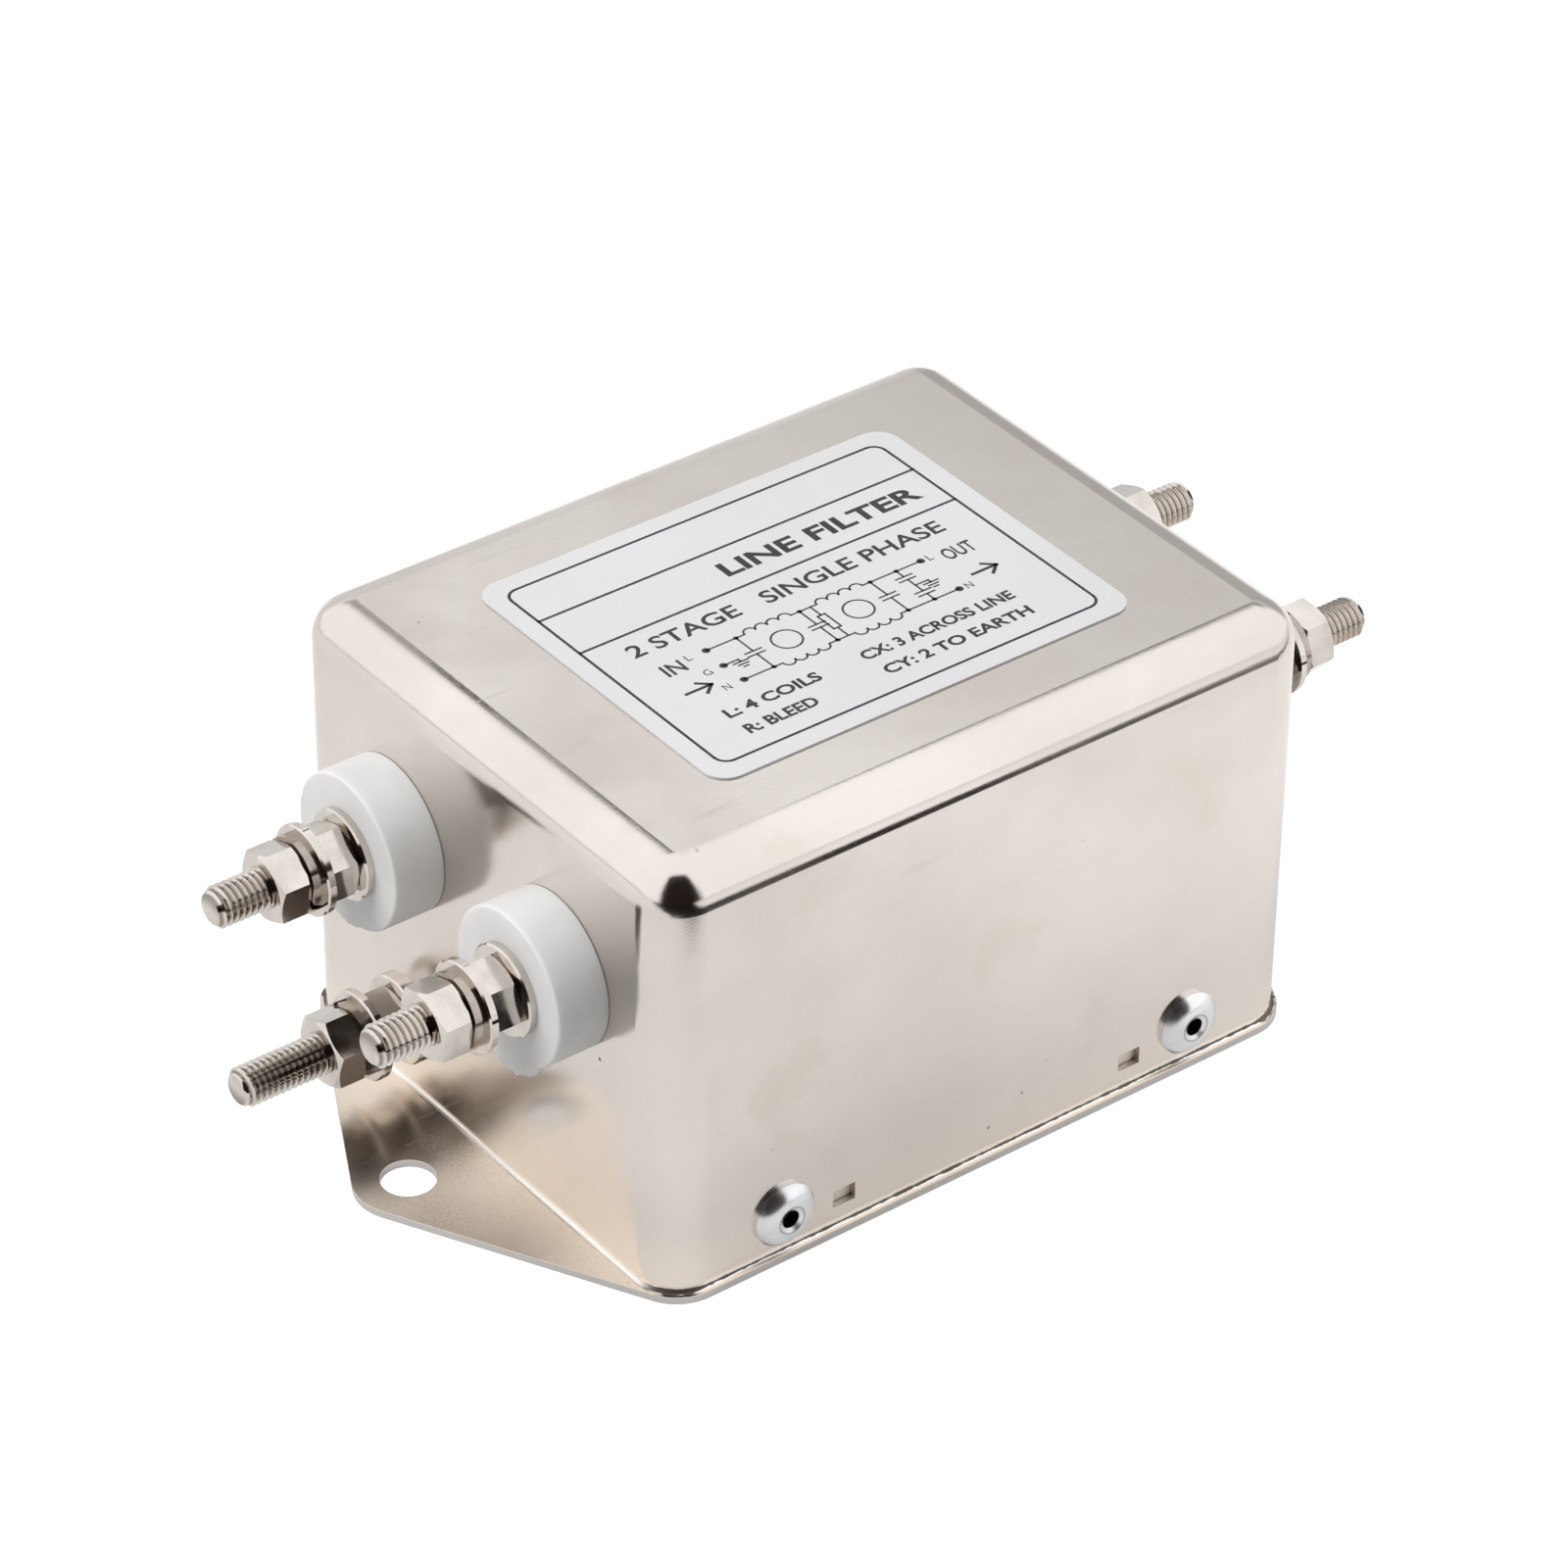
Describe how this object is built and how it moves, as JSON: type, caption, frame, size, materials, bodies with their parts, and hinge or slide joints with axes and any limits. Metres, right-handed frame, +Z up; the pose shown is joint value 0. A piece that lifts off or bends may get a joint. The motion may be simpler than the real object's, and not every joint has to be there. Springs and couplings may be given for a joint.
{
  "type": "emi line filter",
  "caption": "Chassis-mount mains interference filter: drawn metal case with ears, threaded stud terminals on white bushings, an earth stud and a top label.",
  "frame": {"origin": "middle of the mounting plane, under the middle of the case", "axes": "+X runs along the case from the input end, which has the earth stud, to the output end; +Y runs across it; +Z points up from the mounting plane"},
  "size_m": [0.1392, 0.0734, 0.0572],
  "materials": {
    "case": "satin nickel plating over drawn steel",
    "cover": "satin nickel plating over folded steel",
    "rivet": "bright, lightly domed",
    "hardware": "bright nickel plating",
    "stud": "bright nickel plating",
    "bushing": "matt white moulding",
    "insulator": "matt moulding",
    "label": "satin foil with dark print",
    "copper": "tinned edge, bare copper",
    "winding": "clear enamel over copper",
    "core": "coated ferrite, smooth",
    "board": "laminate, satin",
    "film": "moulded box",
    "shunt": "moulded box",
    "resistor": "lacquered",
    "spacer": "moulded, natural"
  },
  "bodies": {
    "root": {"bleeder_resistor": "resistor", "bottom_cover": "cover", "bushing_input_far": "bushing", "bushing_input_near": "bushing", "bushing_output_far": "bushing", "bushing_output_near": "bushing", "case_shell": "case", "choke_core_input": "core", "choke_core_output": "core", "choke_seat_input": "insulator", "choke_seat_output": "insulator", "circuit_board": "board", "cover_rivets": "rivet", "earth_capacitor_input": "shunt", "earth_capacitor_output": "shunt", "earth_strap": "copper", "earth_stud": "stud", "film_capacitor_input": "film", "film_capacitor_middle": "film", "film_capacitor_output": "film", "fixing_nuts": "hardware", "fixing_washers": "hardware", "insulator_input_far": "insulator", "insulator_input_near": "insulator", "insulator_output_far": "insulator", "insulator_output_near": "insulator", "lock_washers": "hardware", "rating_label": "label", "spacer_input_far": "spacer", "spacer_input_near": "spacer", "spacer_output_far": "spacer", "spacer_output_near": "spacer", "strap_input_far": "copper", "strap_input_near": "copper", "strap_output_far": "copper", "strap_output_near": "copper", "stud_input_far": "stud", "stud_input_near": "stud", "stud_output_far": "stud", "stud_output_near": "stud", "terminal_nuts": "hardware", "terminal_washers": "hardware", "winding_input_far": "winding", "winding_input_near": "winding", "winding_output_far": "winding", "winding_output_near": "winding"}
  },
  "joints": []
}
